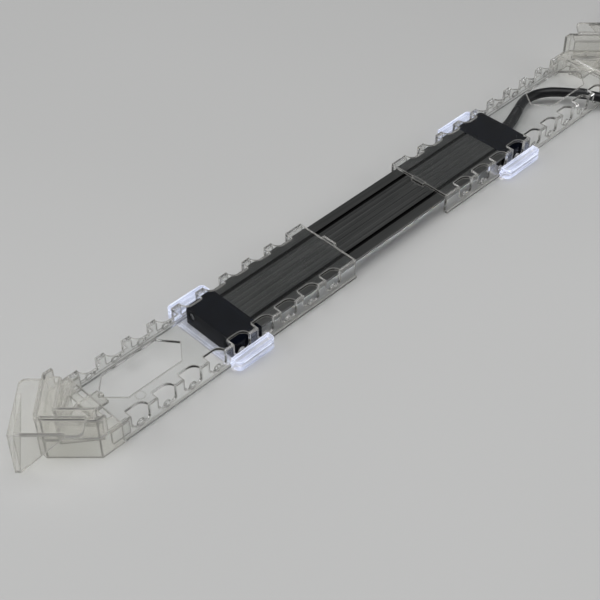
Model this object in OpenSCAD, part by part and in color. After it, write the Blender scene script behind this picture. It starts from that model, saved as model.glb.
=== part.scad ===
// Corner-hung aquarium lamp: a slim LED bar in clear carriers that slide along two clear
// rails. Each rail plugs into a corner hook that hangs over the glass of a square tank.
// X runs along the bar towards the cable end, -Y is the near side, Z is up. The origin is
// on the surface that the lamp stands on, under the middle of the assembly.

/* [Tank fit] */
// Outer side of the square tank
tank_side = 300; // [290:1:310]
// Thickness of the glass that the hooks go over
glass_t = 5; // [4:0.5:6]
// Height of the glass rim above the standing surface
rim_z = 22.8; // [22.4:0.1:24]

/* [Rails] */
// Length of one rail
rail_l = 140; // [136:1:144]
// Outer width of a rail
rail_w = 37; // [36.6:0.1:37.4]
// Wall and deck thickness of a rail
rail_t = 1.5; // [1.2:0.1:1.6]
// Height of the rail's top face
rail_top = 12.4; // [12.2:0.1:12.8]
// Height of the lower edge of the rail's walls
rail_bottom = 1.25; // [1.2:0.05:1.4]
// Distance from the tank's corner to the outer end of a rail
rail_start = 39; // [38:0.5:40]
// Number of index windows on each side
window_n = 9; // [6:1:9]
// Distance from one window to the next
window_pitch = 14.4; // [14:0.1:14.6]
// Length of one window
window_l = 9.6; // [9:0.1:9.8]

/* [Lamp] */
// Length of the aluminium bar
bar_l = 175.2; // [170:0.2:176]
// Position of the bar's left end
bar_x = -92.6; // [-94:0.2:-92]
// Width of the bar
bar_w = 33.4; // [33:0.1:33.4]
// Height of the bar's top face
bar_top = 9.5; // [9.3:0.1:9.6]
// Length of the left end cap
left_cap_l = 17; // [16:0.2:18]
// Length of the right end cap
right_cap_l = 21.2; // [20:0.2:22]
// Light emitters in one row
led_n = 21; // [10:1:21]
// Distance between emitters along a row
led_pitch = 7.4; // [7:0.1:7.4]

/* [Cable] */
// Diameter of the mains lead
cable_d = 5.4; // [5.2:0.1:5.4]
// Length of the plug's body
plug_l = 35; // [33:0.5:36]
// Length of the plug's pins
pin_l = 19; // [18:0.5:20]

/* [Hidden] */

clear = [0.86, 0.88, 0.88, 0.4];
black = [0.06, 0.06, 0.07];
e = 0.01;

half_diag = tank_side * sqrt(2) / 2;
half_rail = rail_w / 2;
rail_h = rail_top - rail_bottom;
window_first = rail_l - 10.3 - window_l;
window_sill = 2.7;
window_cut = 4.7;
window_r = 4;
// Opening in a rail's deck: places along the rail, and half its width
opening_x = [2, 11, 40.2, 47.3];
opening_half = 9;
// Catch tab on the rail's inner end
tab_w = 8;
tab_l = 1.7;
bead = 0.8;
bead_h = 1.4;

half_bar = bar_w / 2;
bar_end = bar_x + bar_l;
cap_bottom = 1.0;
cap_h = bar_top - cap_bottom;
left_cap_x = bar_x - left_cap_l;
right_cap_x = bar_end + right_cap_l;
// Two deep grooves and six fine ones along the bar's top
groove_y = 10.1;
groove_w = 1.5;
groove_d = 0.9;
rib_pitch = 2.9;
rib_w = 1.1;
rib_d = 0.2;
web_z = 8.0;
board_z = 6.4;
board_t = 1.2;
board_w = 20;
led_t = 1.4;
led_w = 5;
led_row_y = 5.2;
led_first_x = -80;
cover_z = 2.6;
cover_t = 1.2;
cover_w = 21.6;
port_y = 12;
port_z = 5.9;
port_r = 1.1;
gasket_t = 0.8;
gasket_half = 14.6;
gasket_bottom = 1.7;
gasket_h = 6.8;
cable_y = 0.6;
cable_z = 5.4;

floor_t = 1.0;
wing_in = half_rail + bead + 0.3;
wing_out = 24.8;
wing_top = 7.2;
wing_bottom = 1.9;
lip_z = rail_bottom + bead_h + 0.3;
lip_t = 1.2;
screw_y = 8;
left_carrier_l = 22.4;
left_carrier_x = left_cap_x - 4.2;
right_carrier_l = 27;
right_carrier_x = right_cap_x - 28.2;
// Hole in the middle of each carrier's floor
carrier_hole_r = 3;
// End stop across the left carrier
stop_t = 1.6;
stop_w = 31;
stop_h = 1.8;

hook_t = 2;
hook_l = 28;
hook_taper = 21;
skirt_in = glass_t + 1.5;
skirt_t = 1.5;
skirt_corner = 9.4;
// Cut-outs in the corner hook's deck
deck_triangle_a = [[17, 17], [30, 17], [21.5, 25.5]];
deck_triangle_b = [[17, 18.6], [17, 30], [20.6, 26.2]];
deck_slot = [[32, 19.5], [34.2, 17.3], [36, 19], [28.3, 26.8], [24.4, 27]];

r2 = sqrt(2);

// Route of the lead from the strain relief, out through the rail's last window on the near
// side, and round the corner hook to the coil
lead_route = [
    [124.1, 6.64, 5.5], [130, 8.8, 5.6], [136, 9.8, 5.8], [142, 8.8, 6.2], [147, 6, 6.6],
    [151, 2, 7], [155, -3.5, 7.3], [159, -10, 7.5], [162, -15.5, 7.5], [165, -21.5, 7.2],
    [168.5, -27.5, 6.2], [173.5, -32.5, 4.8], [180, -36.5, 3.6], [188, -39.8, 2.9],
    [198, -42.9, 2.7], [210, -46.4, 2.7], [222, -50.2, 2.7], [233, -53.8, 2.7],
    [244, -57.4, 2.7],
];
// Middle of the coil, and the radii of its innermost and outermost turns
coil_at = [258, -19];
coil_inner_r = 21.2;
coil_outer_r = 40.8;
coil_h = 11;
// Route of the last stretch, which rises off the coil and curls back over it to the plug
tail_route = [
    [224, 0.6, 9.6], [222.2, -4.3, 11.8], [222.2, -9.5, 13.7], [224, -14.4, 15.4],
    [227.4, -18.4, 16.7], [231.9, -21, 17.5], [237, -21.9, 17.7],
];
relief_route = [[99, 0.6, 5.4], [104, 0.6, 5.4], [110, 1.7, 5.4], [117, 4, 5.4], [124, 6.6, 5.5]];
relief_r = [3.3, 3.3, 3.2, 3.0, 2.75];
live_route = [[98.6, 2, 6], [93, 5, 5.6], [87, 6, 5.5], [82, 5, 5.6], [79, 4, 5.7]];
neutral_route = [[98.6, -0.8, 6], [93, -4, 5.6], [87, -5.5, 5.5], [82, -5, 5.6], [79, -4, 5.7]];

// Tie round the coil, on the side away from the plug
tie_w = 8;
tie_t = 0.6;
tie_side_t = 1;

plug_x = 255;
plug_y = -21.9;
plug_z = 17.7;
plug_h = 13.2;
sleeve_l = 18;
pin_y = 9.3;

function unit(v) = v / norm(v);
function route_dir(p, i) = unit(p[min(i + 1, len(p) - 1)] - p[max(i - 1, 0)]);
function ring(c, d, r, n) =
    let (side = unit(cross(d, [0, 0, 1])), up = cross(side, d))
    [for (k = [0:n - 1]) c + r * (cos(360 * k / n) * side + sin(360 * k / n) * up)];

// A tube through the points of a route; radii holds one radius for each point
module tube(route, radii, n = 10) {
    m = len(route);
    points = [for (i = [0:m - 1]) each ring(route[i], route_dir(route, i), radii[i], n)];
    sides = [
        for (i = [0:m - 2], k = [0:n - 1])
            [i * n + k, i * n + (k + 1) % n, (i + 1) * n + (k + 1) % n, (i + 1) * n + k]
    ];
    start_cap = [for (k = [0:n - 1]) n - 1 - k];
    end_cap = [for (k = [0:n - 1]) (m - 1) * n + k];
    polyhedron(points, concat([start_cap], sides, [end_cap]));
}

module even_tube(route, r, n = 10) {
    tube(route, [for (p = route) r], n);
}

// Cylinder along X from x0, l long
module rod_x(x0, y, z, l, r) {
    translate([x0, y, z]) rotate([0, 90, 0]) cylinder(h = l, r = r, $fn = 32);
}

module mirror_y() {
    children();
    mirror([0, 1, 0]) children();
}

// ---------- lamp ----------

// Half of the bar's cross section, drawn as [y, z]
module bar_half_2d() {
    difference() {
        polygon([
            [0, web_z], [0, bar_top], [half_bar - 0.3, bar_top], [half_bar, bar_top - 0.3],
            [half_bar, bar_top - 0.9], [15.2, 8.2], [14.9, 6.4], [12.6, 3.9], [11.1, 1.9],
            [9.6, 1.9], [9.6, 2.5], [10.9, 2.5], [10.9, 3.9], [10.4, 3.9], [10.4, 4.3],
            [11.6, 4.3], [14.0, 6.9], [14.0, web_z],
        ]);
        translate([groove_y - groove_w / 2, bar_top - groove_d]) square([groove_w, 2]);
        for (k = [0:2])
            translate([rib_pitch * (k + 0.5) - rib_w / 2, bar_top - rib_d]) square([rib_w, 1]);
    }
}

// Screw port inside the bar, open towards the board, with its foot in the bar's wall
module port_2d() {
    difference() {
        union() {
            translate([port_y, port_z]) circle(r = port_r + 0.6, $fn = 32);
            translate([port_y, port_z]) square([2.2, 1.2]);
        }
        translate([port_y, port_z]) circle(r = port_r, $fn = 32);
        translate([port_y - 3, port_z - 3]) square([3, 2.4]);
    }
}

module along_x(x0, l) {
    translate([x0, 0, 0]) rotate([90, 0, 90]) linear_extrude(l) children();
}

module bar_housing() {
    color([0.2, 0.2, 0.21]) {
        along_x(bar_x, bar_l) {
            bar_half_2d();
            mirror([1, 0]) bar_half_2d();
        }
        mirror_y() along_x(bar_x, bar_l) port_2d();
    }
}

module thermal_pad() {
    color([0.75, 0.75, 0.78])
        translate([bar_x + 3, -8, board_z + board_t]) cube([bar_l - 6, 16, web_z - board_z - board_t]);
}

module led_board() {
    color("white")
        difference() {
            translate([bar_x + 2, -board_w / 2, board_z]) cube([bar_l - 4, board_w, board_t]);
            for (x = [bar_x + 6, bar_end - 17])
                translate([x, 0, board_z - 1]) cylinder(h = board_t + 2, r = 1.3, $fn = 32);
        }
}

module leds() {
    color([1, 0.96, 0.7])
        for (i = [0:led_n - 1], side = [-1, 1])
            translate([
                led_first_x + i * led_pitch - led_w / 2,
                side * led_row_y - led_w / 2,
                board_z - led_t
            ]) cube([led_w, led_w, led_t]);
}

// Rectifier, regulator and fuse at the cable end of the board
module driver_parts() {
    color([0.1, 0.1, 0.1]) {
        translate([73.4, -8.5, board_z - 1.6]) cube([4, 5, 1.6]);
        translate([73.4, 3.5, board_z - 1.5]) cube([4, 5, 1.5]);
        translate([73.6, -1.6, board_z - 1]) cube([2, 3.2, 1]);
    }
}

module board_screws() {
    color("silver")
        for (x = [bar_x + 6, bar_end - 17])
            translate([x, 0, board_z - 1.1]) {
                cylinder(h = 1.1, r = 2, $fn = 32);
                cylinder(h = 2.2, r = 1.2, $fn = 32);
            }
}

module light_cover() {
    color([0.9, 0.93, 1, 0.5])
        translate([bar_x + 0.5, -cover_w / 2, cover_z]) cube([bar_l - 1, cover_w, cover_t]);
}

module gasket(x0) {
    color([0.3, 0.3, 0.3])
        along_x(x0, gasket_t)
            difference() {
                translate([-gasket_half, gasket_bottom]) square([2 * gasket_half, gasket_h]);
                translate([-11, 3]) square([22, 4.2]);
                for (side = [-1, 1])
                    translate([side * port_y, port_z]) circle(r = 1.5, $fn = 32);
            }
}

module left_gasket() {
    gasket(bar_x - gasket_t);
}

module right_gasket() {
    gasket(bar_end);
}

// An end cap closed at x = 0 and open towards +X, with a sloped outer end
module cap(l) {
    slope = 0.8;
    corner = 1.8;
    wall = 1.6;
    pocket_w = 20;
    difference() {
        intersection() {
            translate([0, 0, cap_bottom])
                linear_extrude(cap_h)
                    polygon([
                        [0, half_bar - corner], [corner, half_bar], [l, half_bar],
                        [l, -half_bar], [corner, -half_bar], [0, -half_bar + corner],
                    ]);
            translate([0, half_bar + 1, 0])
                rotate([90, 0, 0])
                    linear_extrude(bar_w + 2)
                        polygon([
                            [0, cap_bottom], [0, bar_top - 3.2], [slope, bar_top],
                            [l, bar_top], [l, cap_bottom],
                        ]);
        }
        // pocket for the wires
        translate([5, -pocket_w / 2, cap_bottom + wall]) cube([l, pocket_w, cap_h - 2 * wall]);
        // recess that takes the gasket
        translate([l - gasket_t, -gasket_half, gasket_bottom])
            cube([gasket_t + 1, 2 * gasket_half, gasket_h]);
        for (side = [-1, 1]) {
            rod_x(-1, side * port_y, port_z, l + 2, 1.3);
            rod_x(-1, side * port_y, port_z, 3.4, 2.3);
        }
        for (side = [-1, 1])
            translate([l / 2 + 1, side * screw_y, cap_bottom - 1])
                cylinder(h = 3.4, r = 1, $fn = 32);
    }
}

module left_cap() {
    color(black) translate([left_cap_x, 0, 0]) cap(left_cap_l);
}

module right_cap() {
    color(black)
        difference() {
            translate([right_cap_x, 0, 0]) mirror([1, 0, 0]) cap(right_cap_l);
            rod_x(right_cap_x - 7, cable_y, cable_z, 8, 3.4);
        }
}

// Two self-tapping screws through a cap into the bar; heads at x0, pointing along +X
module cap_screw_pair(l) {
    for (side = [-1, 1]) {
        rod_x(1.4, side * port_y, port_z, 1, 2.1);
        rod_x(1.4, side * port_y, port_z, l + 4, 1.05);
    }
}

module left_cap_screws() {
    color("silver") translate([left_cap_x, 0, 0]) cap_screw_pair(left_cap_l);
}

module right_cap_screws() {
    color("silver")
        translate([right_cap_x, 0, 0]) mirror([1, 0, 0]) cap_screw_pair(right_cap_l);
}

// One wing: a rounded block outside the rail wall with a lip that rides over the bead
module wing(l) {
    r = 2.5;
    difference() {
        translate([0, 0, wing_bottom])
            linear_extrude(wing_top - wing_bottom) {
                translate([0, wing_in]) square([l, wing_out - r - wing_in]);
                translate([r, wing_in]) square([l - 2 * r, wing_out - wing_in]);
                for (x = [r, l - r])
                    translate([x, wing_out - r]) circle(r = r, $fn = 32);
            }
        // fine seam line round the top rim
        translate([3, wing_out - 0.3, wing_top - 1.2]) cube([l - 6, 1, 0.4]);
    }
    translate([0, wing_in - 0.2, 0]) cube([l, 1.8, wing_bottom + 1]);
    translate([0, half_rail + 0.3, lip_z]) cube([l, wing_in - half_rail, lip_t]);
}

// Clear cradle under one end of the lamp, x from 0 to l
module carrier(l) {
    difference() {
        translate([0, -wing_in - 1.6, 0]) cube([l, 2 * wing_in + 3.2, floor_t]);
        for (side = [-1, 1])
            translate([l / 2, side * screw_y, -e]) {
                cylinder(h = 1.2, r = 1.25, $fn = 32);
                cylinder(h = 0.4, r = 2.1, $fn = 32);
            }
    }
    mirror_y() wing(l);
}

module left_carrier() {
    color(clear) {
        translate([left_carrier_x, 0, 0])
            difference() {
                carrier(left_carrier_l);
                translate([left_carrier_l / 2, 0, -1])
                    cylinder(h = 3, r = carrier_hole_r, $fn = 48);
            }
        // end stop ahead of the cap
        translate([left_carrier_x, -stop_w / 2, 0]) cube([stop_t, stop_w, stop_h]);
    }
}

module right_carrier() {
    color(clear)
        translate([right_carrier_x, 0, 0])
            difference() {
                carrier(right_carrier_l);
                translate([right_carrier_l / 2, 0, -1])
                    cylinder(h = 3, r = carrier_hole_r, $fn = 48);
            }
}

module carrier_screw_pair(x) {
    color("silver")
        for (side = [-1, 1])
            translate([x, side * screw_y, 0]) {
                cylinder(h = 0.35, r = 2.0, $fn = 32);
                cylinder(h = 3.0, r = 0.98, $fn = 32);
            }
}

module left_carrier_screws() {
    carrier_screw_pair(left_carrier_x + left_carrier_l / 2);
}

module right_carrier_screws() {
    carrier_screw_pair(right_carrier_x + right_carrier_l / 2);
}

module live_wire() {
    color("saddlebrown") even_tube(live_route, 0.7, 8);
}

module neutral_wire() {
    color("steelblue") even_tube(neutral_route, 0.7, 8);
}

module strain_relief() {
    color(black) tube(relief_route, relief_r, 12);
}

// ---------- rails ----------

// Window in the rail's deck, from its square end at x = 0; the wall side is at y = 0
module window_plan_2d() {
    translate([0, -1]) square([window_l - window_r, window_cut + 1]);
    translate([0, -1]) square([window_l, window_cut + 1 - window_r]);
    translate([window_l - window_r, window_cut - window_r]) circle(r = window_r, $fn = 40);
}

// Window in the rail's wall, drawn as [x, z] from the sill up
module window_side_2d() {
    r = 2;
    difference() {
        union() {
            translate([0, r]) square([window_l, 20]);
            square([window_l - r, 20]);
            translate([window_l - r, r]) circle(r = r, $fn = 32);
        }
        polygon([[-1, -1], [2.6, -1], [1.2, 1.6], [-1, 1.6]]);
    }
}

module rail_deck_2d() {
    difference() {
        translate([0, -half_rail]) square([rail_l, rail_w]);
        polygon([
            [opening_x[0], 0], [opening_x[1], opening_half], [opening_x[2], opening_half],
            [opening_x[3], 0], [opening_x[2], -opening_half], [opening_x[1], -opening_half],
        ]);
        for (k = [0:window_n - 1])
            translate([window_first - k * window_pitch, 0]) {
                translate([0, -half_rail]) window_plan_2d();
                translate([window_l, half_rail]) rotate(180) window_plan_2d();
            }
    }
}

// Wall with its windows; on the far side each window is turned end for end
module rail_wall_2d(far) {
    difference() {
        square([rail_l, rail_h - rail_t / 2]);
        for (k = [0:window_n - 1])
            translate([window_first - k * window_pitch + (far ? window_l : 0), window_sill])
                mirror([far ? 1 : 0, 0]) window_side_2d();
    }
}

// Wall on the near side of the rail, with the bead along its foot
module rail_wall(far = false) {
    translate([0, -half_rail + rail_t, rail_bottom])
        rotate([90, 0, 0]) linear_extrude(rail_t) rail_wall_2d(far);
    translate([0, -half_rail - bead, rail_bottom]) cube([rail_l, bead + 0.2, bead_h]);
}

// One rail with its outer end at x = 0, running towards +X
module rail() {
    translate([0, 0, rail_top - rail_t]) linear_extrude(rail_t) rail_deck_2d();
    rail_wall();
    mirror([0, 1, 0]) rail_wall(far = true);
    // catch tab on the inner end
    translate([rail_l - 0.5, -tab_w / 2, rail_top - rail_t]) cube([tab_l + 0.5, tab_w, rail_t + 0.3]);
    // plain pad beside the opening
    translate([15, -12, rail_top - e]) cylinder(h = 0.25, r = 2.2, $fn = 40);
}

module left_rail() {
    color(clear) translate([rail_start - half_diag, 0, 0]) rail();
}

module right_rail() {
    color(clear)
        rotate([0, 0, 180]) translate([rail_start - half_diag, 0, 0]) rail();
}

// ---------- corner hooks ----------

// Plan of the skirt inside the tank, shrunk by t; the tank's outer corner is at [0, 0]
module skirt_2d(t) {
    a = skirt_in + t;
    b = skirt_corner + t * (r2 - 1);
    w = (half_rail - t) * r2;
    end_a = (rail_start * r2 + w) / 2;
    end_b = (rail_start * r2 - w) / 2;
    over = t > 0 ? 2 : 0;
    polygon([
        [b, a], [a + w, a], [end_a + over, end_b + over],
        [end_b + over, end_a + over], [a, a + w], [a, b],
    ]);
}

// Outer wall on one pane: deep at the corner and tapering to the rim
module hook_wall() {
    rotate([90, 0, 0])
        linear_extrude(hook_t)
            polygon([
                [-hook_t, rail_bottom], [0.5, rail_bottom], [hook_taper, rim_z + 0.5],
                [-hook_t, rim_z + 0.5],
            ]);
}

// Strip over the rim of one pane, rounded at its free end
module hook_strip_2d() {
    r = 3;
    translate([-hook_t, -hook_t]) square([hook_l + hook_t - r, skirt_in + skirt_t + hook_t]);
    translate([-hook_t, -hook_t + r]) square([hook_l + hook_t, skirt_in + skirt_t + hook_t - r]);
    translate([hook_l - r, -hook_t + r]) circle(r = r, $fn = 32);
}

module mirror_xy() {
    children();
    mirror([1, -1, 0]) children();
}

// Thin upright web from p to q, seen in plan
module web(p, q, z0, z1, t = 1.2) {
    d = q - p;
    translate([p[0], p[1], z0])
        rotate([0, 0, atan2(d[1], d[0])])
            translate([0, -t / 2, 0]) cube([norm(d), t, z1 - z0]);
}

// Corner hook with the tank's outer corner at [0, 0] and the panes along +X and +Y
module corner_hook() {
    ledge_in = 14;
    translate([0, 0, rim_z]) linear_extrude(hook_t) mirror_xy() hook_strip_2d();
    mirror_xy() hook_wall();
    // skirt walls inside the glass
    difference() {
        linear_extrude(rim_z + e) skirt_2d(0);
        translate([0, 0, -1]) linear_extrude(rim_z + 2) skirt_2d(skirt_t);
        // the skirt's end steps down to the height of the rail
        translate([36.4, 9, rail_top]) rotate([0, 0, 45]) cube([12, 8, 30]);
        translate([9, 36.4, rail_top]) rotate([0, 0, -45]) cube([8, 12, 30]);
    }
    // ledges at the rim and the deck below them
    mirror_xy()
        translate([skirt_in + 0.5, skirt_in + 0.5, rim_z - 1.2])
            cube([24, ledge_in - skirt_in - 0.5, 1.2]);
    intersection() {
        translate([0, 0, rail_top - rail_t])
            linear_extrude(rail_t)
                difference() {
                    skirt_2d(0.2);
                    polygon(deck_triangle_a);
                    polygon(deck_triangle_b);
                    mirror_xy() polygon(deck_slot);
                }
        // stops where the rail begins
        rotate([0, 0, 45]) translate([0, -30, 0]) cube([rail_start, 60, 40]);
    }
    // upright webs between the box and the rail's end
    mirror_xy() {
        web([14, 14], [32, 16.4], rail_bottom, rail_top + 2);
        web([14, 13.4], [14, 31], rail_top - 1, rim_z - 0.5);
    }
}

// Tongues that plug the corner hook into the rail, drawn along the lamp's axis
module corner_tongues() {
    z = rail_top - rail_t - 0.1;
    // snap tongue that passes under the rail's end and hooks up into its opening
    translate([rail_start - 6, -4, z - 1.6]) cube([10.4, 8, 1.6]);
    translate([rail_start - 6, -4, z - 0.4]) cube([5.9, 8, rail_t + 0.4]);
    translate([rail_start + 4.6 - 1.6, -1, z - 0.4]) cube([1.4, 2, rail_t + 1.2]);
    mirror_y() {
        translate([rail_start - 5, half_rail - rail_t - 1.45, 2.5]) cube([9.3, 1.4, z - 3.5]);
        translate([rail_start - 5, half_rail - rail_t - 1.45, 2.5]) cube([4.9, 1.8, z - 3.5]);
    }
}

module corner() {
    rotate([0, 0, -45]) corner_hook();
    corner_tongues();
}

module left_corner() {
    color(clear) translate([-half_diag, 0, 0]) corner();
}

module right_corner() {
    color(clear) rotate([0, 0, 180]) translate([-half_diag, 0, 0]) corner();
}

// ---------- cable and plug ----------

module cord_lead() {
    color(black) even_tube(lead_route, cable_d / 2, 10);
}

module cord_tail() {
    color(black) even_tube(tail_route, cable_d / 2, 10);
}

// Closed outer shape of the wound cable
module cord_coil() {
    color(black)
        translate([coil_at[0], coil_at[1], 0])
            rotate_extrude($fn = 96)
                translate([coil_inner_r - cable_d / 2, 0])
                    square([coil_outer_r - coil_inner_r + cable_d, coil_h]);
}

// Strap round all the strands, on the near side of the coil
module coil_tie() {
    strands_w = coil_outer_r - coil_inner_r + cable_d;
    color([0.12, 0.12, 0.13])
        translate([coil_at[0] - tie_w / 2, coil_at[1] - coil_outer_r - cable_d / 2, 0])
            difference() {
                translate([0, -tie_side_t, 0])
                    cube([tie_w, strands_w + 2 * tie_side_t, coil_h + 2 * tie_t]);
                translate([-1, 0, tie_t]) cube([tie_w + 2, strands_w, coil_h]);
            }
}

// Half of the plug's outline seen from above, from its cable end to its face
module plug_half_2d() {
    polygon([[0, 0], [0, 5], [6, 8], [plug_l - 9, 12], [plug_l, 13], [plug_l, 0]]);
}

module plug_body() {
    color(black) {
        translate([plug_x, plug_y, plug_z - plug_h / 2])
            linear_extrude(plug_h) {
                plug_half_2d();
                mirror([0, 1]) plug_half_2d();
            }
        translate([plug_x - sleeve_l, plug_y, plug_z])
            rotate([0, 90, 0]) cylinder(h = sleeve_l + 0.5, r1 = 3.0, r2 = 4.6, $fn = 40);
    }
}

module plug_pins() {
    color([0.8, 0.7, 0.4])
        for (side = [-1, 1])
            rod_x(plug_x + plug_l, plug_y + side * pin_y, plug_z, pin_l, 2);
}

bar_housing();
led_board();
leds();
driver_parts();
thermal_pad();
board_screws();
light_cover();
left_cap();
right_cap();
left_gasket();
right_gasket();
left_cap_screws();
right_cap_screws();
left_carrier();
right_carrier();
left_carrier_screws();
right_carrier_screws();
live_wire();
neutral_wire();
strain_relief();
left_rail();
left_corner();
right_rail();
right_corner();
cord_lead();
cord_coil();
cord_tail();
coil_tie();
plug_body();
plug_pins();
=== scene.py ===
import itertools
import math

import bpy
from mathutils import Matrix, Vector


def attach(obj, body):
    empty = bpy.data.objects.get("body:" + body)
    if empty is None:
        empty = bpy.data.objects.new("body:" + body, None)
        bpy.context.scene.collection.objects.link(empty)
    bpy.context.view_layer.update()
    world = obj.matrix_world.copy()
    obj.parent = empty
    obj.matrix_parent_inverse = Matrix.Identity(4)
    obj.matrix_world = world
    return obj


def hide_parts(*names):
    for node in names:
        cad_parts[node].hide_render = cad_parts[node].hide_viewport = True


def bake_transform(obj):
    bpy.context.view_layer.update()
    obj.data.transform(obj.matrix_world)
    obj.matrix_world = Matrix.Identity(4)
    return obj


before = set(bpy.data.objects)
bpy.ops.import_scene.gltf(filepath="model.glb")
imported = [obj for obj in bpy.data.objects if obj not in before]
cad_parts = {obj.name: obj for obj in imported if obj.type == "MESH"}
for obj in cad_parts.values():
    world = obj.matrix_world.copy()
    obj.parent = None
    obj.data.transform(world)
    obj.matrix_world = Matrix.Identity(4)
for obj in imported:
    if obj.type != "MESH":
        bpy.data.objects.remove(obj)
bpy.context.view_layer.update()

MM = 0.001
Z_AXIS = Vector((0, 0, 1))


def mm(*p):
    """A point given in millimetres, in metres."""
    return Vector(p) * MM


# ---------- camera ----------

CAMERA_AT = mm(-360.8, -311.6, 413.5)
CAMERA_PITCH = 40.69
CAMERA_HEADING = 45.15
CAMERA_LENS = 76.06
CAMERA_SHIFT = (-0.0107, -0.1306)


def make_camera():
    """A long lens looking down at the lamp from its left near end."""
    data = bpy.data.cameras.new("camera")
    data.lens = CAMERA_LENS
    data.sensor_width = 36
    data.shift_x, data.shift_y = CAMERA_SHIFT
    data.clip_start, data.clip_end = 0.01, 20
    cam = bpy.data.objects.new("camera", data)
    cam.location = CAMERA_AT
    cam.rotation_euler = (
        math.radians(90 - CAMERA_PITCH), 0, math.radians(-CAMERA_HEADING)
    )
    bpy.context.collection.objects.link(cam)
    bpy.context.scene.camera = cam


# ---------- mesh helpers ----------


def new_object(name, verts, faces, smooth=True):
    """A mesh object in the scene, with smooth or flat shading."""
    mesh = bpy.data.meshes.new(name)
    mesh.from_pydata([tuple(v) for v in verts], [], faces)
    mesh.validate()
    mesh.update()
    if smooth:
        mesh.shade_smooth()
    obj = bpy.data.objects.new(name, mesh)
    bpy.context.collection.objects.link(obj)
    return obj


LEAST_SPACING = 0.3


def spline(points, step):
    """A smooth cubic B-spline that passes near the points, from the first to the last."""
    pts = [points[0]] * 2 + list(points) + [points[-1]] * 2
    out = []
    for a, b, c, d in zip(pts, pts[1:], pts[2:], pts[3:]):
        n = max(1, round((c - b).length / step))
        for k in range(n):
            t = k / n
            out.append((
                a * (1 - t) ** 3
                + b * (3 * t ** 3 - 6 * t ** 2 + 4)
                + c * (-3 * t ** 3 + 3 * t ** 2 + 3 * t + 1)
                + d * t ** 3
            ) / 6)
    out.append(points[-1])
    # points that fall too close together are left out
    clean = [out[0]]
    for p in out[1:]:
        if (p - clean[-1]).length > step * LEAST_SPACING:
            clean.append(p)
    clean[-1] = points[-1]
    return clean


def add_tube_faces(faces, rings, sides, start=0):
    """Faces between rings + 1 rings of points that begin at vertex start, with both ends."""
    for i in range(rings):
        a, b = start + i * sides, start + (i + 1) * sides
        for k in range(sides):
            j = (k + 1) % sides
            faces.append((a + k, a + j, b + j, b + k))
    faces.append(tuple(start + k for k in reversed(range(sides))))
    faces.append(tuple(start + rings * sides + k for k in range(sides)))


def sweep(name, path, radius, sides):
    """A closed tube along path; radius(s) takes the share of the way along, from 0 to 1."""
    side = Z_AXIS.cross(path[1] - path[0]).normalized()
    verts, faces = [], []
    last = len(path) - 1
    for i, p in enumerate(path):
        ahead = (path[min(i + 1, last)] - path[max(i - 1, 0)]).normalized()
        side = (side - ahead * side.dot(ahead)).normalized()
        up = ahead.cross(side)
        r = radius(i / last)
        for k in range(sides):
            a = 2 * math.pi * k / sides
            verts.append(p + (side * math.cos(a) + up * math.sin(a)) * r)
    add_tube_faces(faces, last, sides)
    return new_object(name, verts, faces)


# ---------- cord ----------

CABLE_D = 5.4 * MM
CORD_STEP = 2.2 * MM
CORD_SIDES = 18
LEAD_ROUTE = [mm(*p) for p in (
    (124.1, 6.64, 5.5), (130, 8.8, 5.6), (136, 9.8, 5.8), (142, 8.8, 6.2), (147, 6, 6.6),
    (151, 2, 7), (155, -3.5, 7.3), (159, -10, 7.5), (162, -15.5, 7.5), (165, -21.5, 7.2),
    (168.5, -27.5, 6.2), (173.5, -32.5, 4.8), (180, -36.5, 3.6), (188, -39.8, 2.9),
    (198, -42.9, 2.7), (210, -46.4, 2.75), (222, -50.2, 2.8), (233, -53.8, 2.9),
)]
TAIL_ROUTE = [mm(*p) for p in (
    (222.2, -4.3, 11.8), (222.2, -9.5, 13.7), (224, -14.4, 15.4), (227.4, -18.4, 16.7),
    (231.9, -21, 17.5), (237, -21.9, 17.7),
)]
# the sleeve's stretch at the lamp's end; the real lead bends here as the right bracket slides, but
# this route is fixed
RELIEF_ROUTE = [mm(*p) for p in (
    (99, 0.6, 5.4), (104, 0.6, 5.4), (110, 1.7, 5.4), (117, 4, 5.4), (124, 6.6, 5.5),
)]
COIL_CENTRE = mm(258, -19, 0)
COIL_START = math.radians(250)
# turns wound inwards; the rest of them go outwards on top
COIL_HALF = 3.5
COIL_TURNS = 6.722
COIL_INNER = 21.2 * MM
COIL_STEP = 5.6 * MM
COIL_LOW, COIL_RISE = 2.7 * MM, 5.5 * MM
COIL_STEPS_PER_TURN = 24
# the strands rise a little over the strap, and where the last stretch leaves the coil
STRAP_LIFT = 0.75 * MM
STRAP_LIFT_POWER = 8
TAIL_LIFT = 1.4 * MM
TAIL_LIFT_TURNS = 0.1


def coil_points():
    """Turns winding inward on the surface, then outward on top of them."""
    out = []
    count = round(COIL_TURNS * COIL_STEPS_PER_TURN)
    for i in range(count + 1):
        turn = COIL_TURNS * i / count
        off = turn - COIL_HALF
        radius = COIL_INNER + COIL_STEP * abs(off)
        rise = 0.5 * (1 + math.sin(math.pi * max(-0.5, min(0.5, off))))
        angle = COIL_START + 2 * math.pi * turn
        lift = STRAP_LIFT * max(0, -math.sin(angle)) ** STRAP_LIFT_POWER
        lift += TAIL_LIFT * max(0, 1 - (COIL_TURNS - turn) / TAIL_LIFT_TURNS) ** 2
        out.append(COIL_CENTRE + Vector((
            radius * math.cos(angle),
            radius * math.sin(angle),
            COIL_LOW + COIL_RISE * rise + lift,
        )))
    return out


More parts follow.
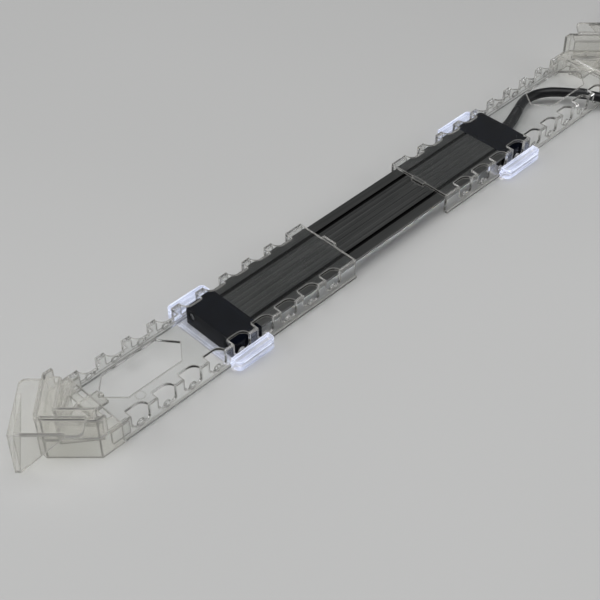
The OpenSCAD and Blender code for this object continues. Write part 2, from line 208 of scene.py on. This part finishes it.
def make_cord():
    """The whole lead as one tube, from the sleeve to the plug."""
    path = spline(LEAD_ROUTE + coil_points() + TAIL_ROUTE, CORD_STEP)
    cord = sweep("mains_cord", path, lambda s: CABLE_D / 2, CORD_SIDES)
    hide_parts("cord_lead", "cord_coil", "cord_tail")
    cord.data.materials.append(rubber_black)
    return cord, path


# the sleeve's own measures, in millimetres along it and across it
SLEEVE_STEP = 0.25 * MM
SLEEVE_SIDES = 28
SLEEVE_LONG = 26
SLEEVE_R = 3.28
SLEEVE_TAPER = 0.5
SLEEVE_RIBS = (6.5, 24.6)
SLEEVE_RIB_PITCH = 2.0
SLEEVE_RIB_DEPTH = 0.38


def sleeve_radius(s):
    """Radius of the sleeve a share s of the way along it, in metres."""
    along = s * SLEEVE_LONG
    base = SLEEVE_R - SLEEVE_TAPER * s
    first, last = SLEEVE_RIBS
    if along < first or along > last:
        return base * MM
    groove = max(0, math.sin(2 * math.pi * (along - first) / SLEEVE_RIB_PITCH))
    return (base - SLEEVE_RIB_DEPTH * groove ** 0.5) * MM


def make_relief():
    """The tapered sleeve at the lamp's end, with moulded ribs."""
    path = spline(RELIEF_ROUTE, SLEEVE_STEP)
    relief = sweep("relief_sleeve", path, sleeve_radius, SLEEVE_SIDES)
    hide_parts("strain_relief")
    relief.data.materials.append(rubber_black)
    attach(relief, "lamp")
    return relief


def superellipse(centre, half_w, half_h, power, sides):
    """A ring of points across X, from round (power 2) to nearly square."""
    out = []
    for k in range(sides):
        a = 2 * math.pi * k / sides
        c, s = math.cos(a), math.sin(a)
        out.append(centre + Vector((
            0,
            half_w * math.copysign(abs(c) ** (2 / power), c),
            half_h * math.copysign(abs(s) ** (2 / power), s),
        )))
    return out


PLUG_AT = mm(255, -21.9, 17.7)
PLUG_SIDES = 48
PLUG_STEP = 0.4
# the plug's boot and body in millimetres; x runs from PLUG_AT, where the two meet
BOOT_LONG = 18
BOOT_R, BOOT_GROWS = 2.95, 1.5
BOOT_RIBS = (-16.9, -1.3)
BOOT_RIB_PITCH, BOOT_RIB_DEPTH = 2.6, 0.42
BODY_LONG = 35
BODY_R = 4.5
SHOULDER_LONG, SHOULDER_WIDER, SHOULDER_HIGHER = 7, 3.4, 2.05
FLARE_LONG, FLARE_WIDER, FLARE_POWER = 30, 5.1, 1.3
GRIP, GRIP_DEPTH = (8, 24), 0.8
FACE_EDGE, FACE_ROUND = 1.4, 0.7
ROUND_POWER, SQUARER = 2, 2.6


def boot_section(x):
    """Half width, half height and roundness of the plug's ribbed boot, where x is below 0."""
    first, last = BOOT_RIBS
    groove = max(0, math.sin(2 * math.pi * x / BOOT_RIB_PITCH)) if first < x < last else 0
    r = BOOT_R + BOOT_GROWS * (1 + x / BOOT_LONG) - BOOT_RIB_DEPTH * groove ** 0.5
    return r, r, ROUND_POWER


def body_section(x):
    """Half width, half height and roundness of the plug's body, x mm from its boot."""
    grow = min(1, x / SHOULDER_LONG)
    ease = grow * grow * (3 - 2 * grow)
    flare = min(1, x / FLARE_LONG) ** FLARE_POWER
    first, last = GRIP
    hollow = max(0, math.sin(math.pi * (x - first) / (last - first))) if first < x < last else 0
    painted_edge_mask = FACE_ROUND * max(0, (x - BODY_LONG + FACE_EDGE) / FACE_EDGE) ** 2
    half_w = BODY_R + SHOULDER_WIDER * ease + FLARE_WIDER * flare - GRIP_DEPTH * hollow ** 2 - painted_edge_mask
    half_h = BODY_R + SHOULDER_HIGHER * ease - painted_edge_mask
    return half_w, half_h, ROUND_POWER + SQUARER * ease


def make_plug():
    """The moulded plug and its boot as one closed skin."""
    long = BOOT_LONG + BODY_LONG
    count = round(long / PLUG_STEP)
    verts, faces = [], []
    for i in range(count + 1):
        x = -BOOT_LONG + long * i / count
        half_w, half_h, power = boot_section(x) if x < 0 else body_section(x)
        centre = PLUG_AT + mm(x, 0, 0)
        verts += superellipse(centre, half_w * MM, half_h * MM, power, PLUG_SIDES)
    add_tube_faces(faces, count, PLUG_SIDES)
    plug = new_object("mains_plug", verts, faces)
    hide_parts("plug_body")
    plug.data.materials.append(plug_black)
    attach(plug, "right_bracket")
    return plug


# the strap's inside from low to high in Y and then in Z, and its own measures, in millimetres
STRAP_IN = (-62.75, -39.7, 0.62, 11.7)
STRAP_T = 0.6
STRAP_W = 7.6
STRAP_CORNER = 2.4
STRAP_CORNER_STEPS = 8
STRAP_CHAMFER = 0.25
STRAP_BEVEL = 0.12


def strap_loop(grow):
    """A rounded rectangle in Y and Z round the strands, grown outwards by grow mm."""
    y0, y1, z0, z1 = STRAP_IN
    r = STRAP_CORNER + grow
    corners = (
        (y1 + grow - r, z1 + grow - r, 0), (y0 - grow + r, z1 + grow - r, 90),
        (y0 - grow + r, z0 - grow + r, 180), (y1 + grow - r, z0 - grow + r, 270),
    )
    out = []
    for cy, cz, start in corners:
        for k in range(STRAP_CORNER_STEPS + 1):
            a = math.radians(start + 90 * k / STRAP_CORNER_STEPS)
            out.append((cy + r * math.cos(a), cz + r * math.sin(a)))
    return out


def make_strap():
    """A thin rubber strap round all the strands of the coil."""
    x = COIL_CENTRE.x / MM
    inner, outer = strap_loop(0), strap_loop(STRAP_T)
    n = len(inner)
    verts, faces = [], []
    for loop, half in ((inner, STRAP_W / 2), (outer, STRAP_W / 2 - STRAP_CHAMFER)):
        for sign in (-1, 1):
            verts += [mm(x + sign * half, y, z) for y, z in loop]
    for k in range(n):
        j = (k + 1) % n
        faces.append((k, j, n + j, n + k))
        faces.append((2 * n + k, 3 * n + k, 3 * n + j, 2 * n + j))
        faces.append((k, 2 * n + k, 2 * n + j, j))
        faces.append((n + k, n + j, 3 * n + j, 3 * n + k))
    strap = new_object("coil_strap", verts, faces, smooth=False)
    bevel(strap, STRAP_BEVEL)
    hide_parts("coil_tie")
    strap.data.materials.append(strap_black)
    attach(strap, "right_bracket")
    return strap


# ---------- studs in the rails' windows ----------

# in millimetres; the first window is the one nearest the middle of the lamp
WINDOW_PITCH = 14.4
WINDOW_COUNT = 9
FIRST_WINDOW_X = 48.23
STUD_Z = 4.7
STUD_SIDES = 24
# radius and distance from the lamp's middle plane, from the outer face to the inner one
STUD_PROFILE = (
    (0.15, 18.45), (0.8, 18.38), (1.3, 18.15), (1.45, 17.85), (1.95, 17.8),
    (2.05, 17.65), (1.95, 17.4), (1.2, 17.35), (0.7, 17.2), (0.15, 17.15),
)


def make_studs(name, body, end):
    """The round studs on the window sills of the rail at end (-1 left, 1 right)."""
    verts, faces = [], []
    for k, side in itertools.product(range(WINDOW_COUNT), (-1, 1)):
        lead_passes = (end, side, k) == (1, -1, WINDOW_COUNT - 1)
        if lead_passes:
            continue
        start = len(verts)
        x = end * (FIRST_WINDOW_X + k * WINDOW_PITCH)
        for radius, y in STUD_PROFILE:
            for i in range(STUD_SIDES):
                a = side * 2 * math.pi * i / STUD_SIDES
                verts.append(mm(x + radius * math.cos(a), side * y, STUD_Z + radius * math.sin(a)))
        add_tube_faces(faces, len(STUD_PROFILE) - 1, STUD_SIDES, start)
    studs = new_object(name, verts, faces)
    studs.data.materials.append(clear_rail)
    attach(studs, body)


# ---------- materials ----------


class Nodes:
    """A material with one Principled shader and short calls for its nodes."""

    def __init__(self, name, **values):
        self.mat = bpy.data.materials.new(name)
        self.mat.use_nodes = True
        self.tree = self.mat.node_tree
        self.shader = self.tree.nodes["Principled BSDF"]
        self.output = self.tree.nodes["Material Output"]
        for key, value in values.items():
            self.put(key.replace("_", " "), value)
        self.place = self.add("ShaderNodeTexCoord").outputs["Object"]

    def put(self, socket, value):
        self.shader.inputs[socket].default_value = value

    def add(self, kind, **props):
        node = self.tree.nodes.new(kind)
        for key, value in props.items():
            setattr(node, key, value)
        return node

    def link(self, a, b):
        self.tree.links.new(a, b)

    def to(self, out, socket):
        self.link(out, self.shader.inputs[socket])

    def scaled(self, scale):
        node = self.add("ShaderNodeMapping")
        node.inputs["Scale"].default_value = scale
        self.link(self.place, node.inputs["Vector"])
        return node.outputs["Vector"]

    def noise(self, scale, detail, stretch=(1, 1, 1)):
        node = self.add("ShaderNodeTexNoise")
        node.inputs["Scale"].default_value = scale
        node.inputs["Detail"].default_value = detail
        node.inputs["Roughness"].default_value = 0.55
        self.link(self.scaled(stretch), node.inputs["Vector"])
        return node.outputs["Fac"]

    def ramp(self, value, stops):
        """The colour at value among stops, each a place from 0 to 1 and its colour."""
        node = self.add("ShaderNodeValToRGB")
        ramp = node.color_ramp
        while len(ramp.elements) < len(stops):
            ramp.elements.new(0.5)
        for element, (at, colour) in zip(ramp.elements, stops):
            element.position = at
            element.color = (*colour, 1)
        self.link(value, node.inputs["Fac"])
        return node.outputs["Color"]

    def span(self, value, a, b, c, d):
        """value from a to b, as a number from c to d."""
        node = self.add("ShaderNodeMapRange")
        for socket, number in zip(("From Min", "From Max", "To Min", "To Max"), (a, b, c, d)):
            node.inputs[socket].default_value = number
        self.link(value, node.inputs["Value"])
        return node.outputs["Result"]

    def math(self, operation, a, b=None):
        node = self.add("ShaderNodeMath", operation=operation)
        for socket, value in zip(node.inputs, (a, b)):
            if value is None:
                continue
            if isinstance(value, (int, float)):
                socket.default_value = value
            else:
                self.link(value, socket)
        return node.outputs["Value"]

    def mixed(self, low, high, factor):
        """The colour low where factor is 0 and high where it is 1."""
        node = self.add("ShaderNodeMix", data_type="RGBA")
        self.link(factor, node.inputs["Factor"])
        for socket, colour in ((node.inputs[6], low), (node.inputs[7], high)):
            if isinstance(colour, tuple):
                socket.default_value = (*colour, 1)
            else:
                self.link(colour, socket)
        return node.outputs[2]

    def axis(self, name):
        node = self.add("ShaderNodeSeparateXYZ")
        self.link(self.place, node.inputs["Vector"])
        return node.outputs[name]

    def bump(self, height, strength, distance):
        node = self.add("ShaderNodeBump")
        node.inputs["Strength"].default_value = strength
        node.inputs["Distance"].default_value = distance
        self.link(height, node.inputs["Height"])
        self.to(node.outputs["Normal"], "Normal")

    def edges(self, radius, start=0.98, full=0.8):
        """1 on edges and the narrow faces between them, and 0 on wide flat faces."""
        geometry = self.add("ShaderNodeNewGeometry")
        bevel_node = self.add("ShaderNodeBevel", samples=4)
        bevel_node.inputs["Radius"].default_value = radius
        dot = self.add("ShaderNodeVectorMath", operation="DOT_PRODUCT")
        self.link(geometry.outputs["Normal"], dot.inputs[0])
        self.link(bevel_node.outputs["Normal"], dot.inputs[1])
        return self.span(dot.outputs["Value"], start, full, 0, 1)

    def lets_lamps_through(self, tint):
        """Shadow rays pass in part; refracted light makes up the rest of what falls through."""
        path = self.add("ShaderNodeLightPath")
        open_ = self.add("ShaderNodeBsdfTransparent")
        open_.inputs["Color"].default_value = (*tint, 1)
        mix = self.add("ShaderNodeMixShader")
        self.link(path.outputs["Is Shadow Ray"], mix.inputs["Fac"])
        self.link(self.shader.outputs["BSDF"], mix.inputs[1])
        self.link(open_.outputs["BSDF"], mix.inputs[2])
        self.link(mix.outputs["Shader"], self.output.inputs["Surface"])


def rubber(name, colour, rough, grain):
    """Satin rubber with soft mottling; grain is the scale of its fine bumps."""
    m = Nodes(name, Roughness=rough)
    dark = tuple(c * 0.7 for c in colour)
    light = tuple(c * 1.5 + 0.002 for c in colour)
    m.to(m.ramp(m.noise(90, 4), [(0.3, dark), (0.75, light)]), "Base Color")
    m.to(m.span(m.noise(260, 4), 0.3, 0.7, rough - 0.08, rough + 0.12), "Roughness")
    m.bump(m.noise(grain, 5), 0.25, 0.0001)
    m.put("Specular IOR Level", 0.28)
    return m.mat


def clear_plastic(name, clearness, body, shade):
    """Clear moulding whose edges are drawn beige-grey and less clear, painted shade for the dark
    bands along its cut edges; body is its colour, shade its shadow's.
    """
    m = Nodes(name, IOR=1.47)
    # painted shade: near the edges the moulding is drawn less clear and beige-grey; the edges are
    # also rougher
    painted_edge_mask = m.edges(0.0009, 0.998, 0.93)
    m.to(m.span(painted_edge_mask, 0, 1, clearness, 0.35), "Transmission Weight")
    m.to(m.ramp(painted_edge_mask, [(0.0, body), (1.0, (0.46, 0.45, 0.425))]), "Base Color")
    haze = m.span(m.noise(110, 5), 0.35, 0.75, 0.01, 0.07)
    m.to(m.math("ADD", haze, m.math("MULTIPLY", painted_edge_mask, 0.2)), "Roughness")
    m.bump(m.noise(60, 3), 0.1, 0.0001)
    m.put("Specular IOR Level", 0.22)
    m.lets_lamps_through(shade)
    return m.mat


# distances from the lamp's middle plane between which the painted glow grows to its full strength
WING_PAINTED_GLOW = (16.5 * MM, 19.5 * MM)
WING_TOP = 7.2 * MM


def painted_glow_plastic():
    """Clear plastic with a painted glow: emission stands in for the emitters' light piped out,
    most of all at its wings.
    """
    m = Nodes("painted_glow_moulding", IOR=1.47)
    painted_edge_mask = m.edges(0.0007)
    m.put("Transmission Weight", 0.75)
    m.put("Base Color", (0.7, 0.74, 0.86, 1))
    m.to(m.span(m.noise(120, 4), 0.35, 0.75, 0.08, 0.22), "Roughness")
    side = m.math("ABSOLUTE", m.axis("Y"))
    painted_glow_wing = m.span(side, *WING_PAINTED_GLOW, 0.75, 1.15)
    # painted glow: noise streaks stand in for caustics, and the edges glow more as a painted
    # highlight
    painted_caustic_streak = m.span(m.noise(160, 3, stretch=(0.35, 1, 3)), 0.35, 0.65, 0.02, 0.2)
    painted_glow = m.math("ADD", painted_caustic_streak, m.math("MULTIPLY", painted_edge_mask, 0.4))
    m.to(m.math("MULTIPLY", painted_glow_wing, painted_glow), "Emission Strength")
    # the painted glow is warm at the bottom and cool lavender higher up
    painted_glow_hue = m.ramp(
        m.span(m.axis("Z"), 0.0, WING_TOP, 0, 1),
        [(0.0, (1.0, 0.9, 0.7)), (0.3, (0.74, 0.79, 1.0)), (0.8, (0.86, 0.89, 1.0))],
    )
    m.to(painted_glow_hue, "Emission Color")
    m.bump(m.noise(60, 3), 0.15, 0.0002)
    m.lets_lamps_through((0.6, 0.6, 0.62))
    return m.mat


def light_cover():
    """Clear cover with a faint frost."""
    m = Nodes("clear_cover", IOR=1.45)
    m.put("Transmission Weight", 0.95)
    m.put("Base Color", (0.93, 0.95, 1.0, 1))
    m.to(m.span(m.noise(400, 4), 0.3, 0.7, 0.03, 0.09), "Roughness")
    m.bump(m.noise(700, 3), 0.1, 0.00005)
    m.lets_lamps_through((0.9, 0.92, 0.95))
    return m.mat


GROOVE_Y = 10.1 * MM
# the painted shade stripe is 0.3 mm wider than the groove on each side, so the groove's lips are
# dark too
SHADE_STRIPE_W = 2.1 * MM
RIB_PITCH = 2.9 * MM
RIBS_EACH_SIDE = 3
BAR_HALF = 16.7 * MM
# width of the painted highlight along each of the bar's two sides
HIGHLIGHT_EDGE_W = 1 * MM


def anodised():
    """Dark satin anodised aluminium, drawn along X."""
    m = Nodes("dark_anodised", Metallic=0.75)
    grain = m.noise(900, 3, stretch=(0.02, 1, 1))
    cloud = m.noise(22, 3)
    base = m.ramp(
        m.math("ADD", m.math("MULTIPLY", grain, 0.5), m.math("MULTIPLY", cloud, 0.5)),
        [(0.3, (0.06, 0.0612, 0.06)), (0.7, (0.1, 0.1012, 0.099))],
    )
    # painted highlight: the middles of the fine grooves are drawn a little lighter, as if they
    # shine
    across = m.math("ABSOLUTE", m.axis("Y"))
    share = m.math("FRACT", m.math("MULTIPLY", across, 1 / RIB_PITCH))
    painted_rib_highlight = m.math("LESS_THAN", m.math("ABSOLUTE", m.math("SUBTRACT", share, 0.5)), 0.08)
    painted_rib_highlight = m.math("MULTIPLY", painted_rib_highlight, m.math("LESS_THAN", across, RIBS_EACH_SIDE * RIB_PITCH))
    base = m.mixed(base, (0.15, 0.152, 0.148), m.math("MULTIPLY", painted_rib_highlight, 0.4))
    # the edges are drawn lighter: a little wear on all of them, and a painted highlight along the
    # bar's two sides
    wear_and_edge_highlight = m.span(m.math("GREATER_THAN", across, BAR_HALF - HIGHLIGHT_EDGE_W), 0, 1, 0.12, 0.6)
    base = m.mixed(base, (0.42, 0.43, 0.43), m.math("MULTIPLY", m.edges(0.0003), wear_and_edge_highlight))
    # painted shade: the two deep grooves are drawn nearly black inside
    from_groove = m.math("ABSOLUTE", m.math("SUBTRACT", across, GROOVE_Y))
    painted_groove_shade = m.math("LESS_THAN", from_groove, SHADE_STRIPE_W / 2)
    m.to(m.mixed(base, (0.002, 0.002, 0.002), painted_groove_shade), "Base Color")
    m.to(m.span(grain, 0.3, 0.7, 0.34, 0.5), "Roughness")
    m.bump(grain, 0.22, 0.00008)
    return m.mat


def gloss_black():
    """Smooth black moulding with uneven gloss."""
    m = Nodes("gloss_black")
    tones = [(0.3, (0.0012, 0.0018, 0.004)), (0.8, (0.003, 0.004, 0.008))]
    m.to(m.ramp(m.noise(40, 3), tones), "Base Color")
    m.to(m.span(m.noise(180, 5), 0.35, 0.8, 0.07, 0.17), "Roughness")
    m.bump(m.noise(900, 2), 0.08, 0.00005)
    m.put("Specular IOR Level", 0.05)
    return m.mat


def steel():
    """Zinc-plated steel."""
    m = Nodes("zinc_steel", Metallic=1.0)
    tones = [(0.3, (0.5, 0.5, 0.52)), (0.7, (0.68, 0.68, 0.7))]
    m.to(m.ramp(m.noise(300, 3), tones), "Base Color")
    m.to(m.span(m.noise(700, 3), 0.3, 0.7, 0.22, 0.42), "Roughness")
    m.bump(m.noise(1500, 2), 0.1, 0.00003)
    return m.mat


def board_white():
    """White solder mask with faint seams."""
    m = Nodes("solder_mask")
    brick = m.add("ShaderNodeTexBrick")
    brick.inputs["Scale"].default_value = 60
    brick.inputs["Color1"].default_value = (0.83, 0.83, 0.8, 1)
    brick.inputs["Color2"].default_value = (0.88, 0.88, 0.86, 1)
    brick.inputs["Mortar"].default_value = (0.7, 0.71, 0.68, 1)
    brick.inputs["Mortar Size"].default_value = 0.02
    m.link(m.place, brick.inputs["Vector"])
    m.to(brick.outputs["Color"], "Base Color")
    m.to(m.span(m.noise(500, 2), 0.3, 0.7, 0.35, 0.5), "Roughness")
    return m.mat


def emitter():
    """Warm phosphor faces that are lit cool white."""
    m = Nodes("lit_phosphor", Roughness=0.4)
    tones = [(0.3, (0.95, 0.78, 0.3)), (0.7, (1.0, 0.88, 0.5))]
    m.to(m.ramp(m.noise(900, 2), tones), "Base Color")
    m.put("Emission Color", (0.95, 0.97, 1.0, 1))
    m.put("Emission Strength", 5.0)
    m.to(m.span(m.noise(500, 2), 0.3, 0.7, 0.35, 0.5), "Roughness")
    return m.mat


def plain(name, low, high, rough):
    """Moulded plastic or soft pad: two close tones, fine grain and varied gloss."""
    m = Nodes(name)
    m.to(m.ramp(m.noise(100, 3), [(0.3, low), (0.7, high)]), "Base Color")
    m.to(m.span(m.noise(250, 4), 0.3, 0.7, rough - 0.07, rough + 0.1), "Roughness")
    m.bump(m.noise(750, 3), 0.15, 0.00005)
    return m.mat


PIN_SLEEVE_END = 300 * MM
PIN_BLEND = 0.2 * MM


def pin_metal():
    """Nickelled pin tips with black insulating sleeves near the plug's face."""
    m = Nodes("sleeved_pin")
    tip = m.span(m.axis("X"), PIN_SLEEVE_END - PIN_BLEND, PIN_SLEEVE_END + PIN_BLEND, 0, 1)
    metal = m.ramp(m.noise(300, 3), [(0.3, (0.62, 0.58, 0.48)), (0.7, (0.75, 0.72, 0.62))])
    m.to(m.mixed((0.015, 0.015, 0.017), metal, tip), "Base Color")
    m.to(tip, "Metallic")
    m.to(m.span(m.noise(800, 3), 0.3, 0.7, 0.22, 0.4), "Roughness")
    return m.mat


# ---------- CAD nodes: finishes and edges ----------


SHARP_ANGLE = 32
BEVEL_ANGLE = 35


def bevel(obj, width):
    """Rounds the sharp edges of obj by width mm."""
    mod = obj.modifiers.new("edges", "BEVEL")
    mod.width = width * MM
    mod.segments = 2
    mod.limit_method = "ANGLE"
    mod.angle_limit = math.radians(BEVEL_ANGLE)
    mod.harden_normals = True
    mod.use_clamp_overlap = True


def finish_node(node, material, width):
    """Puts the material on a CAD node and softens its edges by width mm."""
    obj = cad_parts[node]
    obj.data.materials.clear()
    obj.data.materials.append(material)
    obj.data.shade_smooth()
    obj.data.set_sharp_from_angle(angle=math.radians(SHARP_ANGLE))
    if width:
        bevel(obj, width)


rubber_black = rubber("cable_rubber", (0.004, 0.004, 0.005), 0.36, 1200)
plug_black = rubber("plug_rubber", (0.014, 0.014, 0.016), 0.5, 900)
strap_black = rubber("strap_rubber", (0.025, 0.025, 0.028), 0.6, 1500)
clear_rail = clear_plastic("clear_rail", 1.0, (0.96, 0.965, 0.96), (0.5, 0.503, 0.5))
clear_hook = clear_plastic("clear_hook", 0.93, (0.9, 0.895, 0.87), (0.76, 0.76, 0.745))
lit = painted_glow_plastic()
metal = steel()
black = gloss_black()
seal = plain("seal_silicone", (0.02, 0.02, 0.02), (0.05, 0.05, 0.05), 0.6)

# each CAD node's material, and the rounding of its edges in millimetres
FINISHES = {
    "bar_housing": (anodised(), 0.12),
    "led_board": (board_white(), 0.1),
    "leds": (emitter(), 0.2),
    "driver_parts": (plain("chip_epoxy", (0.01, 0.01, 0.01), (0.03, 0.03, 0.03), 0.45), 0.12),
    "thermal_pad": (plain("gap_pad", (0.42, 0.43, 0.46), (0.55, 0.56, 0.58), 0.8), 0.05),
    "board_screws": (metal, 0.1),
    "light_cover": (light_cover(), 0.12),
    "left_cap": (black, 0.3),
    "right_cap": (black, 0.3),
    "left_gasket": (seal, 0.08),
    "right_gasket": (seal, 0.08),
    "left_cap_screws": (metal, 0.12),
    "right_cap_screws": (metal, 0.12),
    "left_carrier": (lit, 0.22),
    "right_carrier": (lit, 0.22),
    "left_carrier_screws": (metal, 0.08),
    "right_carrier_screws": (metal, 0.08),
    "live_wire": (plain("wire_brown", (0.16, 0.06, 0.02), (0.24, 0.1, 0.035), 0.4), 0),
    "neutral_wire": (plain("wire_blue", (0.02, 0.08, 0.28), (0.04, 0.13, 0.4), 0.4), 0),
    "left_rail": (clear_rail, 0.18),
    "right_rail": (clear_rail, 0.18),
    "left_corner": (clear_hook, 0.22),
    "right_corner": (clear_hook, 0.22),
    "plug_pins": (pin_metal(), 0.4),
}


# ---------- room ----------


FLOOR_HALF = 3.0
FLOOR_Z = -0.2 * MM


def make_floor():
    """A wide matt pale floor just under the lamp."""
    half = FLOOR_HALF
    floor = new_object(
        "floor",
        [(-half, -half, 0), (half, -half, 0), (half, half, 0), (-half, half, 0)],
        [(0, 1, 2, 3)],
    )
    floor.location.z = FLOOR_Z
    m = Nodes("floor_paint", Roughness=0.7)
    tones = [(0.3, (0.5, 0.5, 0.495)), (0.7, (0.54, 0.54, 0.535))]
    m.to(m.ramp(m.noise(2, 2), tones), "Base Color")
    floor.data.materials.append(m.mat)


def area_light(name, at, size, power):
    """A rectangular light at a point, aimed at the frame's origin."""
    data = bpy.data.lights.new(name, "AREA")
    data.shape = "RECTANGLE"
    data.size, data.size_y = size
    data.energy = power
    lamp = bpy.data.objects.new(name, data)
    lamp.location = at
    lamp.rotation_euler = (-Vector(at)).to_track_quat("-Z", "Y").to_euler()
    bpy.context.collection.objects.link(lamp)


def make_lights():
    """Three soft lights and a dim even sky."""
    area_light("top", (-0.15, -0.1, 1.7), (1.5, 1.5), 22)
    area_light("left", (-1.4, 0.7, 0.9), (0.8, 0.8), 9)
    area_light("right", (1.0, -1.2, 0.8), (0.9, 0.6), 5)
    world = bpy.data.worlds.new("studio")
    world.use_nodes = True
    back = world.node_tree.nodes["Background"]
    back.inputs["Color"].default_value = (0.82, 0.84, 0.86, 1)
    back.inputs["Strength"].default_value = 0.16
    bpy.context.scene.world = world
    bpy.context.scene.view_settings.view_transform = "Standard"


make_camera()
cord, cord_path = make_cord()
relief = make_relief()
plug = make_plug()
strap = make_strap()
make_studs("left_studs", "left_bracket", -1)
make_studs("right_studs", "right_bracket", 1)
for name, (material, width) in FINISHES.items():
    finish_node(name, material, width)
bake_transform(cord)
make_floor()
make_lights()
